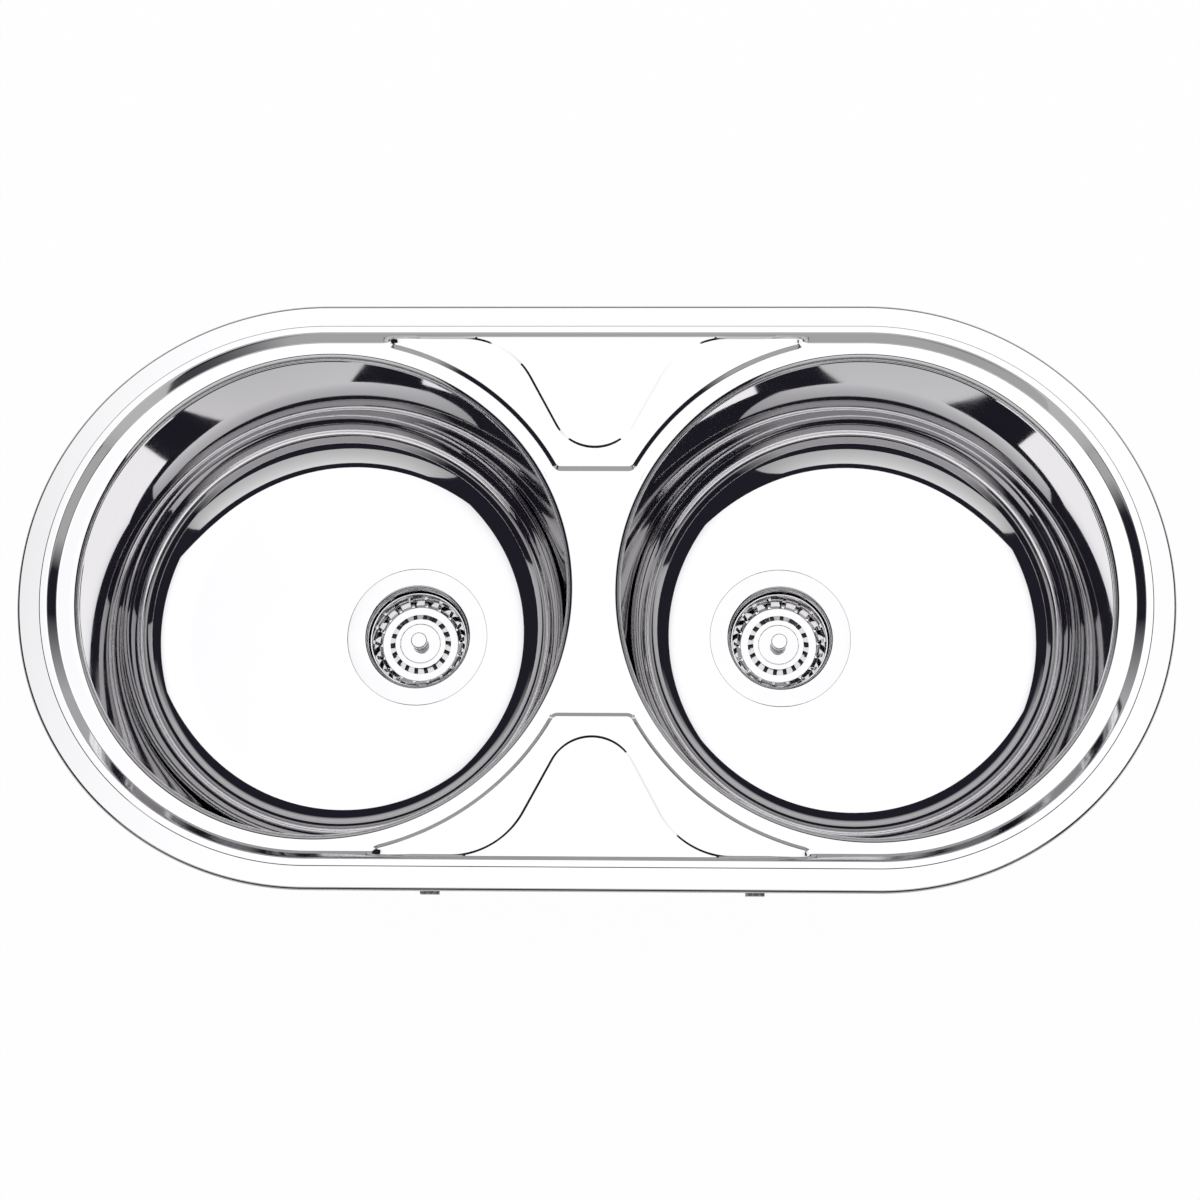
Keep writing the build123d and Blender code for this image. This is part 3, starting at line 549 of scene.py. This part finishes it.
def bendLines(s, ledge, tongue):
    # lines along the bends of the step, the ledge and the tongue
    pitch = s["stepDrop"] / s["stepRun"]
    slope = math.atan(pitch)
    bend = s["stepRound"] * math.tan(slope / 2)
    feet = (
        (0, math.inf),
        (s["ledgeRise"], s["ledgeFootReach"]),
        (s["ledgeRise"] + s["tongueRise"], s["tongueFootReach"]),
    )
    lines = []
    for rise, reach in feet:
        foot = s["crestRadius"] - (s["stepDrop"] - rise) / pitch
        for k in range(-s["bendSteps"], s["bendSteps"] + 1):
            shift = k / s["bendSteps"] * bend * (1 if k < 0 else math.cos(slope))
            lines.append([p for p in stadiumLoop(s, foot + shift) if p[0] < reach])
    for path, shifts in ((ledge, s["ledgeLines"]), (tongue, s["tongueLines"])):
        for shift in sorted((0.0, *shifts, *(-k for k in shifts))):
            lines.append(offsetPath(path, shift))
    return lines


def deckField(s):
    # the sheet between the split and the bowl's edge, on triangles that follow the bends
    ledge, tongue = ledgePath(s), tonguePath(s)
    edgeRadius = s["bowlRadius"] + s["bowlEdge"]
    bowlArc = arcPoints((s["bowlX"], 0), edgeRadius, 180, 0, s["bowlSteps"])
    bowlArc[0], bowlArc[-1] = (s["bowlX"] - edgeRadius, 0.0), (s["bowlX"] + edgeRadius, 0.0)
    border = [(0.0, 0.0)] + bowlArc + stadiumLoop(s, s["slopeSplit"])[::-1]
    points = [Vector(p) for p in border]
    edges = [(i, (i + 1) % len(points)) for i in range(len(points))]

    def reaches(x, y):
        # distances from the plan's own middle line and from the bowl's middle
        return math.hypot(max(x - s["halfStraight"], 0), y), math.hypot(x - s["bowlX"], y)

    for line in bendLines(s, ledge, tongue):
        last = None
        for x, y in line:
            plan, bowl = reaches(x, y)
            within = plan < s["slopeSplit"] - s["borderGap"] and bowl > edgeRadius + s["borderGap"]
            if min(x, y) < -tiny or not within:
                last = None
                continue
            points.append(Vector((max(x, 0.0), max(y, 0.0))))
            if last is not None:
                edges.append((last, len(points) - 1))
            last = len(points) - 1
    coords, _, tris, _, _, _ = delaunay_2d_cdt(points, edges, [], 0, s["fieldGrid"])
    xy = np.array([(c.x, c.y) for c in coords])

    def height(dx, dy):
        return deckHeight(xy[:, 0] + dx, xy[:, 1] + dy, s, ledge, tongue)

    step = s["slopeStep"]
    slopeX = (height(step, 0) - height(-step, 0)) / (2 * step)
    slopeY = (height(0, step) - height(0, -step)) / (2 * step)
    length = np.sqrt(1 + slopeX ** 2 + slopeY ** 2)
    verts = np.column_stack([xy, height(0, 0)])
    normals = np.column_stack([-slopeX, -slopeY, np.ones(len(xy))]) / length[:, None]
    faces = []
    for tri in tris:
        plan, bowl = reaches(*xy[list(tri)].mean(0))
        if plan > s["slopeSplit"] or bowl < edgeRadius - s["borderSlack"]:
            continue
        a, b, c = (xy[k] for k in tri)
        turn = (b[0] - a[0]) * (c[1] - a[1]) - (b[1] - a[1]) * (c[0] - a[0])
        if abs(turn) >= tiny:
            faces.append(tuple(tri) if turn > 0 else tuple(reversed(tri)))
    return verts, normals, faces


def bowlEdge(s):
    # the rounded bowl edge and the collar below it
    level, radius = s["crestLevel"] - s["stepDrop"], s["bowlEdge"]
    bends = [math.radians(90 * k / s["edgeSteps"]) for k in range(s["edgeSteps"] + 1)]
    edge = [(s["bowlRadius"] + radius * (1 - math.sin(a)), level - radius * (1 - math.cos(a))) for a in bends]
    edgeNormals = [(-math.sin(a), math.cos(a)) for a in bends]
    edge.append((s["bowlRadius"], s["collarLevel"]))
    edgeNormals.append((-1.0, 0.0))
    verts, normals, rows = [], [], []
    for (reach, z), (nr, nz) in zip(edge, edgeNormals):
        row = []
        for k in range(s["bowlSteps"] + 1):
            a = math.pi * (1 - k / s["bowlSteps"])
            y = 0.0 if k in (0, s["bowlSteps"]) else reach * math.sin(a)
            row.append(len(verts))
            verts.append((s["bowlX"] + reach * math.cos(a), y, z))
            normals.append((nr * math.cos(a), nr * math.sin(a), nz))
        rows.append(row)
    return verts, normals, stripFaces(rows)


def deckQuarter(s):
    verts, normals, faces = [], [], []
    for partVerts, partNormals, partFaces in (rimStrips(s), deckField(s), bowlEdge(s)):
        faces += [tuple(len(verts) + k for k in face) for face in partFaces]
        verts.extend(partVerts)
        normals.extend(partNormals)
    return np.array(verts), np.array(normals), faces


def weld(verts, normals, faces, grid):
    # merges points that coincide, and drops what collapses
    key = np.round(verts / grid).astype(np.int64)
    _, first, place = np.unique(key, axis=0, return_index=True, return_inverse=True)
    place = place.reshape(-1)
    kept = []
    for face in faces:
        f = []
        for v in face:
            w = int(place[v])
            if not f or f[-1] != w:
                f.append(w)
        if len(f) > 1 and f[0] == f[-1]:
            f.pop()
        if len(f) > 2 and len(set(f)) == len(f):
            kept.append(tuple(f))
    return verts[first], normals[first], kept


def makeDeck(s):
    verts, normals, faces = deckQuarter(s)
    allVerts, allNormals, allFaces = [], [], []
    for sx in (1, -1):
        for sy in (1, -1):
            start = sum(len(v) for v in allVerts)
            allVerts.append(verts * (sx, sy, 1))
            allNormals.append(normals * (sx, sy, 1))
            for f in faces:
                f = f if sx * sy > 0 else tuple(reversed(f))
                allFaces.append(tuple(start + k for k in f))
    verts, normals, faces = weld(np.vstack(allVerts), np.vstack(allNormals), allFaces, s["weldGrid"])

    # the underside is the top moved in by the sheet; open edges get a strip between the two
    count = len(verts)
    under = verts - normals * s["sheet"]
    reach = np.hypot(np.maximum(np.abs(verts[:, 0]) - s["halfStraight"], 0), verts[:, 1])
    line = np.abs(reach - s["creaseRadius"] + s["creaseRun"] / 2) < s["creaseHalf"]
    under[line] = verts[line] - (0, 0, s["sheet"])
    for level in (s["lipBottom"], s["collarLevel"]):
        under[np.abs(verts[:, 2] - level) < tiny, 2] = level
    edges = dict.fromkeys((a, b) for f in faces for a, b in zip(f, f[1:] + f[:1]))
    rims = [(a, b) for a, b in edges if (b, a) not in edges]
    solid = list(faces) + [tuple(count + k for k in reversed(f)) for f in faces]
    solid += [(b, a, count + a, count + b) for a, b in rims]
    points = np.vstack([verts, under]) * mm
    mesh = bpy.data.meshes.new("deckSheet")
    mesh.from_pydata(points.tolist(), [], solid)
    mesh.validate()
    mesh.polygons.foreach_set("use_smooth", [True] * len(mesh.polygons))
    loopVerts = np.zeros(len(mesh.loops), np.int64)
    mesh.loops.foreach_get("vertex_index", loopVerts)
    corner = np.vstack([normals, -normals])[loopVerts]
    for polygon in mesh.polygons[len(faces) * 2:]:
        n = polygon.normal
        for k in polygon.loop_indices:
            corner[k] = (n.x, n.y, n.z)
    mesh.normals_split_custom_set(corner.tolist())
    deck = linkMesh("deckSheet", mesh, looks["polishedSteel"])
    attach(deck, "sink")
    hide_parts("deck")
    print("deck", len(mesh.polygons), "faces", len(rims), "edge pieces")


# merge distance in metres, angle in degrees
nodeMesh = {
    "merge": 2e-6,
    "sharpAngle": 28,
    "holeSteps": 48,
}


def openTree(name, inputs):
    # a Geometry Nodes tree with named inputs, the sockets that bring them, and their identifiers
    tree = bpy.data.node_groups.new(name, "GeometryNodeTree")
    face = tree.interface
    face.new_socket("Geometry", in_out="INPUT", socket_type="NodeSocketGeometry")
    ids = {}
    for key, (label, kind) in inputs.items():
        ids[key] = face.new_socket(label, in_out="INPUT", socket_type="NodeSocket" + kind).identifier
    face.new_socket("Geometry", in_out="OUTPUT", socket_type="NodeSocketGeometry")
    return tree, tree.nodes.new("NodeGroupInput").outputs, ids


def closeTree(tree, geometry, material):
    add, link = tree.nodes.new, tree.links.new
    real, paint = add("GeometryNodeRealizeInstances"), add("GeometryNodeSetMaterial")
    out = add("NodeGroupOutput")
    paint.inputs["Material"].default_value = material
    link(geometry, real.inputs["Geometry"])
    link(real.outputs[0], paint.inputs["Geometry"])
    link(paint.outputs[0], out.inputs[0])


def latheTree(material):
    # turns the modifier's own points about the vertical axis at Centre X: X is the radius, Z the level,
    # and Y moves that ring along X
    inputs = {"steps": ("Steps Round", "Int"), "centre": ("Centre X", "Float")}
    tree, source, ids = openTree("turnedSection", inputs)
    add, link = tree.nodes.new, tree.links.new
    size, grid = add("GeometryNodeAttributeDomainSize"), add("GeometryNodeMeshGrid")
    more = mathNode(tree, "ADD", source["Steps Round"], 1)
    link(source["Geometry"], size.inputs[0])
    link(size.outputs["Point Count"], grid.inputs["Vertices X"])
    link(more, grid.inputs["Vertices Y"])
    index = add("GeometryNodeInputIndex").outputs[0]
    ring = mathNode(tree, "DIVIDE", index, more, kind="FunctionNodeIntegerMath")
    spoke = mathNode(tree, "MODULO", index, more, kind="FunctionNodeIntegerMath")
    place, sample = add("GeometryNodeInputPosition"), add("GeometryNodeSampleIndex")
    sample.data_type = "FLOAT_VECTOR"
    link(source["Geometry"], sample.inputs["Geometry"])
    link(place.outputs[0], sample.inputs["Value"])
    link(ring, sample.inputs["Index"])
    turn = mathNode(tree, "DIVIDE", spoke, source["Steps Round"])
    angle = mathNode(tree, "MULTIPLY", turn, 2 * math.pi)
    parts, arm, shift = add("ShaderNodeSeparateXYZ"), add("ShaderNodeCombineXYZ"), add("ShaderNodeCombineXYZ")
    link(sample.outputs[0], parts.inputs[0])
    link(parts.outputs["X"], arm.inputs["X"])
    link(parts.outputs["Z"], arm.inputs["Z"])
    spin, total = add("ShaderNodeVectorRotate"), add("ShaderNodeVectorMath")
    spin.rotation_type = "Z_AXIS"
    total.operation = "ADD"
    link(arm.outputs[0], spin.inputs["Vector"])
    link(angle, spin.inputs["Angle"])
    link(mathNode(tree, "ADD", source["Centre X"], parts.outputs["Y"]), shift.inputs["X"])
    link(spin.outputs[0], total.inputs[0])
    link(shift.outputs[0], total.inputs[1])
    move, merge = add("GeometryNodeSetPosition"), add("GeometryNodeMergeByDistance")
    merge.inputs["Distance"].default_value = nodeMesh["merge"]
    smooth = add("GeometryNodeSetShadeSmooth")
    link(grid.outputs["Mesh"], move.inputs["Geometry"])
    link(total.outputs[0], move.inputs["Position"])
    link(move.outputs[0], merge.inputs["Geometry"])
    link(merge.outputs[0], smooth.inputs["Geometry"])
    closeTree(tree, smooth.outputs[0], material)
    return tree, ids


def bakeNodes(name, source, tree, values):
    # runs the tree on the source mesh and returns the result as a plain object at the origin
    holder = bpy.data.objects.new(name + "Source", source)
    bpy.context.scene.collection.objects.link(holder)
    modifier = holder.modifiers.new("shape", "NODES")
    modifier.node_group = tree
    for key, value in values.items():
        modifier[key] = value
    bpy.context.view_layer.update()
    result = bpy.data.meshes.new_from_object(holder.evaluated_get(bpy.context.evaluated_depsgraph_get()))
    holder.modifiers.remove(modifier)
    bpy.data.objects.remove(holder)
    result.name = name
    shape = bmesh.new()
    shape.from_mesh(result)
    bmesh.ops.recalc_face_normals(shape, faces=shape.faces)
    shape.to_mesh(result)
    shape.free()
    result.set_sharp_from_angle(angle=math.radians(nodeMesh["sharpAngle"]))
    piece = bpy.data.objects.new(name, result)
    bpy.context.scene.collection.objects.link(piece)
    return piece


def turnedPiece(name, section, centreX, material, steps):
    # section is a closed run of (radius, level) or (radius, level, ring shift) points in millimetres
    source = bpy.data.meshes.new(name + "Section")
    source.from_pydata([(q[0] * mm, (q[2] if len(q) > 2 else 0) * mm, q[1] * mm) for q in section], [], [])
    tree, ids = latheTree(material)
    return bakeNodes(name, source, tree, {ids["steps"]: steps, ids["centre"]: centreX * mm})


# millimetres; a lead is the short step before or after the corner
bowlSizes = {
    "centre": 203.0,
    "topRadius": 183.0,
    "topLevel": -10.2,
    "floorLevel": -157.2,
    "wallSlope": 9.0,
    "wallLead": (0.02, 0.6),
    "floorLead": (0.6, 0.0),
    "cornerRound": 47.0,
    "sheet": 0.8,
    "flatRadius": 122.0,
    "drainInset": 55.0,
    "dipRadius": 66.0,
    "dipLead": 1.0,
    "dipDepth": 0.35,
    "dipRound": 0.9,
    "recessRadius": 57.15,
    "recessSlope": 0.1,
    "recessLevel": -159.4,
    "recessRound": 0.4,
    "holeRadius": 43.0,
    "cornerSteps": 48,
    "floorSpans": 6,
    "recessSteps": 6,
    "steps": 256,
}


def sheetSection(top, sheet):
    # closed section of a sheet from its upper side, run inwards, each point (radius, level, ring shift)
    normals = sectionNormals(top)
    under = [(q[0] - nr * sheet, q[1] - nz * sheet) + tuple(q[2:]) for q, (nr, nz) in zip(top, normals)]
    return list(top) + under[::-1] + [top[0]]


def bowlSection(s, shift):
    # upper side of the bowl's sheet from its top edge in to the waste's hole, whose rings have the shift
    floor, flat = s["floorLevel"], s["flatRadius"]
    outline = [(s["topRadius"], s["topLevel"]), (s["topRadius"] - s["wallSlope"], floor), (flat, floor)]
    wall = filletPath(outline, {1: s["cornerRound"]}, s["cornerSteps"])
    # short steps beside the corner keep its shading off the flat floor and the plain wall
    above = tuple(np.array(wall[1]) + s["wallLead"])
    past = tuple(np.array(wall[-2]) - s["floorLead"])
    wall = [wall[0], above, *wall[1:-1], past, wall[-1]]
    start, spans = s["dipRadius"] + s["dipLead"], s["floorSpans"]
    between = [(flat + (start - flat) * k / spans, floor, shift * k / spans) for k in range(1, spans)]
    lip = s["recessRadius"] + s["recessSlope"]
    recess = filletPath([(start, floor), (s["dipRadius"], floor), (lip, floor - s["dipDepth"]),
                         (s["recessRadius"], s["recessLevel"]), (s["holeRadius"], s["recessLevel"])],
                        {1: s["dipRound"], 3: s["recessRound"]}, s["recessSteps"])
    return [q + (0,) for q in wall] + between + [q + (shift,) for q in recess]


def makeBowls(s):
    for side, sideName in sides:
        section = sheetSection(bowlSection(s, -side * s["drainInset"]), s["sheet"])
        x = side * s["centre"]
        bowl = turnedPiece(sideName + "BowlShell", section, x, looks["drawnSteel"], s["steps"])
        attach(bowl, "sink")
        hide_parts(sideName + "_bowl")
        print("bowl", sideName, len(bowl.data.polygons))


punchInputs = {
    "count": ("Count", "Int"),
    "start": ("Start Angle", "Float"),
    "reach": ("Reach", "Float"),
    "centre": ("Centre X", "Float"),
    "level": ("Level", "Float"),
    "long": ("Length", "Float"),
    "wide": ("Width", "Float"),
    "deep": ("Depth", "Float"),
}


def punchTree(material, kind):
    # cuts Count boxes or round holes, on a circle round Centre X, through the geometry
    tree, source, ids = openTree("punched" + kind.title(), punchInputs)
    add, link = tree.nodes.new, tree.links.new
    points, index = add("GeometryNodePoints"), add("GeometryNodeInputIndex").outputs[0]
    link(source["Count"], points.inputs["Count"])
    turn = mathNode(tree, "MULTIPLY", mathNode(tree, "DIVIDE", index, source["Count"]), 2 * math.pi)
    angle = mathNode(tree, "ADD", turn, source["Start Angle"])
    along = mathNode(tree, "MULTIPLY", mathNode(tree, "COSINE", angle), source["Reach"])
    across = mathNode(tree, "MULTIPLY", mathNode(tree, "SINE", angle), source["Reach"])
    spot, move = add("ShaderNodeCombineXYZ"), add("GeometryNodeSetPosition")
    link(mathNode(tree, "ADD", along, source["Centre X"]), spot.inputs["X"])
    link(across, spot.inputs["Y"])
    link(source["Level"], spot.inputs["Z"])
    link(points.outputs[0], move.inputs["Geometry"])
    link(spot.outputs[0], move.inputs["Position"])
    if kind == "slots":
        tool, size = add("GeometryNodeMeshCube"), add("ShaderNodeCombineXYZ")
        for socket, label in zip(size.inputs, ("Length", "Width", "Depth")):
            link(source[label], socket)
        link(size.outputs[0], tool.inputs["Size"])
    else:
        # Length is the round hole's diameter
        tool = add("GeometryNodeMeshCylinder")
        tool.inputs["Vertices"].default_value = nodeMesh["holeSteps"]
        link(mathNode(tree, "MULTIPLY", source["Length"], 0.5), tool.inputs["Radius"])
        link(source["Depth"], tool.inputs["Depth"])
    spin, place = add("ShaderNodeCombineXYZ"), add("GeometryNodeInstanceOnPoints")
    link(angle, spin.inputs["Z"])
    link(move.outputs[0], place.inputs["Points"])
    link(tool.outputs["Mesh"], place.inputs["Instance"])
    link(spin.outputs[0], place.inputs["Rotation"])
    tools, cut = add("GeometryNodeRealizeInstances"), add("GeometryNodeMeshBoolean")
    cut.operation = "DIFFERENCE"
    cut.solver = "EXACT"
    link(place.outputs[0], tools.inputs["Geometry"])
    link(source["Geometry"], cut.inputs[0])
    link(tools.outputs[0], cut.inputs[1])
    closeTree(tree, cut.outputs["Mesh"], material)
    return tree, ids


def punchPiece(piece, material, kind, s, centreX):
    # s gives count, start angle in degrees, and reach, level, long, wide and deep in millimetres
    name, mesh = piece.name, piece.data
    bpy.data.objects.remove(piece)
    tree, ids = punchTree(material, kind)
    values = {ids["count"]: s["count"], ids["start"]: math.radians(s["start"]), ids["centre"]: centreX * mm}
    for key in ("reach", "level", "long", "wide", "deep"):
        values[ids[key]] = s.get(key, 0) * mm
    mesh.name = name + "Blank"
    return bakeNodes(name, mesh, tree, values)


def joinInto(piece, other):
    # adds the other piece's shell to this piece's mesh and drops the other
    build = bmesh.new()
    build.from_mesh(piece.data)
    build.from_mesh(other.data)
    build.to_mesh(piece.data)
    build.free()
    bpy.data.objects.remove(other)


# millimetres and degrees; sections are (radius, level) points
wasteSizes = {
    "drainX": 148.0,
    "floorLevel": -157.2,
    "flangeRadius": 57.0,
    "flangeEdge": 1.4,
    "flangeDrop": 0.3,
    "flangeSheet": 1.0,
    "mouthRadius": 44.0,
    "mouthRound": 3.5,
    "mouthFlat": 3.0,
    "wallTop": 8.0,
    "seatLevel": -187.2,
    "seatRadius": 32.5,
    "seatDrop": 6.4,
    "sumpTaper": 1.0,
    "sumpLevel": -204.2,
    "screwHole": 3.3,
    "dishRounds": {1: 1.5, 2: 1.5, 3: 1.5},
    "windows": {"count": 6, "start": 0, "reach": 19.0, "level": -204.7, "long": 14.0, "deep": 6.0},
    "basket": {
        "sheet": 0.8,
        "points": [(39.4, -169.2), (38.5, -169.2), (31.3, -185.5), (25.2, -186.0), (20.8, -183.2),
                   (16.8, -183.2), (16.2, -182.7), (3.06, -182.7)],
        "rounds": {1: 0.6, 2: 0.7, 3: 0.6, 4: 0.8, 5: 0.6, 6: 0.9},
        "slots": {"count": 18, "start": 2.5, "reach": 22.9, "level": -186.0, "long": 4.4, "wide": 3.2,
                  "deep": 6.0},
        "wallSlots": {"count": 18, "start": 2.5, "reach": 33.3, "level": -180.0, "long": 3.4, "wide": 2.6,
                      "deep": 10.0},
        "tray": [(31.6, -186.0), (35.2, -186.0), (35.2, -186.4), (31.6, -186.4), (31.6, -186.0)],
        "steps": 180,
        "traySteps": 96,
    },
    "post": [(0, -169.7), (6.6, -169.7), (6.6, -174.7), (5.0, -174.7), (5.0, -180.7), (5.8, -182.7),
             (3.0, -182.7), (3.0, -196.3), (0, -196.3)],
    "postRounds": {1: 1.0, 2: 0.8, 3: 0.5, 4: 0.8, 7: 0.4},
    "plug": [(3.3, -184.3), (18.0, -184.3), (19.0, -188.1), (37.35, -188.1), (36.35, -190.1), (3.3, -190.1),
             (3.3, -184.3)],
    "plugRounds": {1: 0.6, 2: 0.8, 3: 0.5, 4: 0.4},
    "mouthSteps": 12,
    "dishSteps": 192,
    "postSteps": 64,
    "plugSteps": 96,
    "roundSteps": 6,
    "plugRoundSteps": 4,
}


def makeDish(s, sideName, x):
    # flange, mouth, wall, plug seat and the bottom plate with its holes round the screw
    floor, seat, wall = s["floorLevel"], s["seatLevel"], s["mouthRadius"] - s["mouthRound"]
    top = [(s["flangeRadius"], floor - s["flangeDrop"]), (s["flangeRadius"] - s["flangeEdge"], floor),
           (s["mouthRadius"] + s["mouthFlat"], floor)]
    top += arcPoints((s["mouthRadius"], floor - s["mouthRound"]), s["mouthRound"], 90, 180, s["mouthSteps"])
    low = [(wall, floor - s["wallTop"]), (wall, seat), (s["seatRadius"], seat - s["seatDrop"]),
           (s["seatRadius"] - s["sumpTaper"], s["sumpLevel"]), (s["screwHole"], s["sumpLevel"])]
    section = sheetSection(top + filletPath(low, s["dishRounds"], s["roundSteps"]), s["flangeSheet"])
    dish = turnedPiece(sideName + "WasteDish", section, x, looks["wasteSteel"], s["dishSteps"])
    dish = punchPiece(dish, looks["wasteSteel"], "holes", s["windows"], x)
    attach(dish, "sink")
    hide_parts(sideName + "_waste_dish")
    return dish


def makeBasket(s, sideName, x):
    # pressed cup with two rings of slots, and the flat ring under the outer one
    b, steel = s["basket"], looks["wasteSteel"]
    path = filletPath(b["points"], b["rounds"], s["roundSteps"])
    basket = turnedPiece(sideName + "BasketCup", sheetSection(path, b["sheet"]), x, steel, b["steps"])
    for slots in (b["slots"], b["wallSlots"]):
        basket = punchPiece(basket, steel, "slots", slots, x)
    tray = turnedPiece(sideName + "BasketTray", b["tray"], x, steel, b["traySteps"])
    joinInto(basket, tray)
    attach(basket, sideName + "_basket")
    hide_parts(sideName + "_basket")
    return basket


def makeKnob(s, sideName, x):
    section = filletPath(s["post"], s["postRounds"], s["roundSteps"])
    post = turnedPiece(sideName + "BasketKnob", section, x, looks["wasteSteel"], s["postSteps"])
    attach(post, sideName + "_basket")
    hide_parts(sideName + "_basket_post")


def makePlug(s, sideName, x):
    section = filletPath(s["plug"], s["plugRounds"], s["plugRoundSteps"])
    plug = turnedPiece(sideName + "PlugRubber", section, x, looks["plugRubber"], s["plugSteps"])
    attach(plug, sideName + "_basket")
    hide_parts(sideName + "_plug")


def makeWastes(s):
    for side, sideName in sides:
        x = side * s["drainX"]
        dish = makeDish(s, sideName, x)
        basket = makeBasket(s, sideName, x)
        makeKnob(s, sideName, x)
        makePlug(s, sideName, x)
        print("waste", sideName, len(dish.data.polygons), len(basket.data.polygons))


nodeLooks = {
    "rim_seal": "foamSeal",
    "clamp_brackets": "plainSteel",
    "sound_pad": "dampingPad",
    "flange_gasket": "plugRubber",
    "body_seal": "plugRubber",
    "waste_body": "whitePlastic",
    "brass_insert": "turnedBrass",
    "waste_screw": "wasteSteel",
    "plug_retainer": "wasteSteel",
    "post_nut": "wasteSteel",
    "arm": "zincPlate",
    "claw": "zincPlate",
    "screw": "zincPlate",
}


def paintNodes():
    # each CAD node that still shows takes the finish that its name ends with
    for name, node in nodes.items():
        if node.hide_render:
            continue
        look = next((looks[v] for k, v in nodeLooks.items() if name.endswith(k)), None)
        if look is None:
            print("no finish for", name)
            continue
        if not node.material_slots:
            node.data.materials.append(look)
        for slot in node.material_slots:
            slot.material = look
    print("nodes painted")


makeCamera(cameraView)
makeWorld(studio)
makeLights(studio)
makeFloor(studio)
makeDeck(deckSizes)
makeBowls(bowlSizes)
makeWastes(wasteSizes)
paintNodes()

bpy.context.scene.view_settings.view_transform = "Standard"
